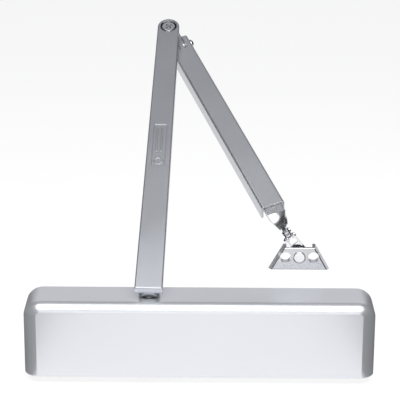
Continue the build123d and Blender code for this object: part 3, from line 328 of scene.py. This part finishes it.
# --- Slider, links and foot ---------------------------------------------------------------------
# The slider, the links, the fork and the foot are pressed steel with a bright nickel plating.
# Two pins join the slider, the links and the fork, and a rivet holds the fork on the foot plate.
plated, into, out = effect(
    "drawn_plating",
    [("Color", "NodeSocketColor", (0.8, 0.8, 0.82, 1)), ("Roughness", "NodeSocketFloat", 0.16),
     ("Streaks", "NodeSocketFloat", 0.12), ("Stretch", "NodeSocketVector", (60.0, 60.0, 900.0))],
    [("Color", "NodeSocketColor"), ("Roughness", "NodeSocketFloat"), ("Height", "NodeSocketFloat")])
where = plated.nodes.new("ShaderNodeTexCoord").outputs["Object"]
stretch = plated.nodes.new("ShaderNodeVectorMath")
stretch.operation = "MULTIPLY"
plated.links.new(where, stretch.inputs[0])
plated.links.new(into.outputs["Stretch"], stretch.inputs[1])
lines = cloud(plated, stretch.outputs[0], 1.0, 4.0, 0.65)
stains = cloud(plated, where, 90.0, 4.0, 0.6)
line_part = maths(plated, "MULTIPLY", maths(plated, "SUBTRACT", lines, 0.5), into.outputs["Streaks"])
stain_part = maths(plated, "MULTIPLY", maths(plated, "SUBTRACT", stains, 0.5), 0.18)
tone = maths(plated, "ADD", maths(plated, "ADD", line_part, stain_part), 1.0)
plated.links.new(scaled_color(plated, into.outputs["Color"], tone), out.inputs["Color"])
rough = maths(plated, "ADD", into.outputs["Roughness"], maths(plated, "ADD", line_part, stain_part))
plated.links.new(maths(plated, "MAXIMUM", rough, 0.04), out.inputs["Roughness"])
plated.links.new(lines, out.inputs["Height"])


def bare_metal(name, color, roughness, streaks, stretch):
    """Plated or bare metal with fine drawn lines, faint stains and softened bright edges."""
    material = bpy.data.materials.new(name)
    material.use_nodes = True
    tree = material.node_tree
    shader = tree.nodes["Principled BSDF"]
    skin = place_group(tree, plated, Color=color, Roughness=roughness, Streaks=streaks, Stretch=stretch)
    edge = place_group(tree, worn_and_highlit, Width=0.0003)
    tree.links.new(skin.outputs["Color"], shader.inputs["Base Color"])
    tree.links.new(skin.outputs["Roughness"], shader.inputs["Roughness"])
    bump = tree.nodes.new("ShaderNodeBump")
    bump.inputs["Strength"].default_value = 0.3
    bump.inputs["Distance"].default_value = 0.00001
    tree.links.new(skin.outputs["Height"], bump.inputs["Height"])
    tree.links.new(edge.outputs["Normal"], bump.inputs["Normal"])
    tree.links.new(bump.outputs[0], shader.inputs["Normal"])
    shader.inputs["Metallic"].default_value = 1.0
    return material


bright_nickel = bare_metal("bright_nickel", (0.80, 0.80, 0.82, 1), 0.14, 0.10, (90.0, 700.0, 90.0))
dress(bright_nickel, "link_plates", "upper_foot_pin", "lower_foot_pin", "foot_fork", "foot_rivet")

# The slider and the foot plate have the same plating over a rolled surface, so they look more satin.
satin_nickel = bare_metal("satin_nickel", (0.66, 0.665, 0.69, 1), 0.27, 0.12, (90.0, 700.0, 90.0))
dress(satin_nickel, "forearm_slider", "foot_plate")


# --- Screws and nuts ----------------------------------------------------------------------------
# The elbow screw, the cross bolt, the clamp screw and the small screws are zinc-plated steel.
# The two clips that grip the inside of the cover have the same finish, and are screwed to the lugs.
bright_zinc = bare_metal("bright_zinc", (0.74, 0.75, 0.78, 1), 0.20, 0.12, (500.0, 500.0, 500.0))
dress(bright_zinc, "elbow_screw", "elbow_washer", "elbow_nut", "cross_bolt", "cross_bolt_nut",
      "clamp_screw", "hub_set_screw", "cover_clip_screws", "left_cover_clip", "right_cover_clip")


# --- Casting -----------------------------------------------------------------------------------
# The cylinder casting is die-cast aluminium, left as cast except where it is bored and faced.
# Four screws through its lugs hold the whole closer on the door.
cast_alloy = coated_metal("cast_alloy", (0.46, 0.465, 0.47, 1), (0.66, 0.66, 0.66, 1), 0.8, 0.5,
                          {"Clouds": 0.20, "Flake": 0.25, "Peel_Scale": 600.0}, 0.0006, 0.00015)
dress(cast_alloy, "body_casting")


# --- Turned steel ------------------------------------------------------------------------------
# The plugs, caps, pinion, piston and power screw are turned steel, with lines round their axes.
# The spring is oil-tempered wire, and the valves and the elbow bush are turned brass or bronze.
turned_steel = bare_metal("turned_steel", (0.52, 0.52, 0.53, 1), 0.28, 0.2, (3000.0, 60.0, 60.0))
dress(turned_steel, "left_end_plug", "right_end_plug", "piston", "spring_plate", "power_screw",
      "check_valve_seat")
shaft_steel = bare_metal("shaft_steel", (0.50, 0.50, 0.52, 1), 0.26, 0.2, (60.0, 60.0, 3000.0))
dress(shaft_steel, "pinion_shaft", "upper_bearing", "lower_bearing", "upper_bearing_cap",
      "lower_bearing_cap", "check_ball")
spring_wire = bare_metal("spring_wire", (0.20, 0.20, 0.22, 1), 0.35, 0.25, (900.0, 300.0, 300.0))
dress(spring_wire, "closing_spring")
turned_brass = bare_metal("turned_brass", (0.72, 0.52, 0.24, 1), 0.25, 0.2, (60.0, 60.0, 3000.0))
dress(turned_brass, "sweep_valve", "latch_valve", "backcheck_valve", "elbow_bush")


# --- Seals and cap ------------------------------------------------------------------------------
# The seals and rings are black nitrile rubber, and the cap on the lower shaft end is moulded plastic.
black_rubber = coated_metal("black_rubber", (0.018, 0.018, 0.019, 1), (0.05, 0.05, 0.05, 1), 0.0, 0.6,
                            {"Clouds": 0.4, "Flake": 0.3, "Peel_Scale": 1500.0}, 0.0003, 0.00003)
dress(black_rubber, "end_plug_rings", "upper_shaft_seal", "lower_shaft_seal", "piston_ring",
      "sweep_valve_ring", "latch_valve_ring", "backcheck_valve_ring")
cap_plastic = coated_metal("cap_plastic", (0.035, 0.036, 0.038, 1), (0.08, 0.08, 0.08, 1), 0.0, 0.45,
                           {"Clouds": 0.2, "Flake": 0.1, "Peel_Scale": 2000.0}, 0.0004, 0.00004)
dress(cap_plastic, "spindle_cap")
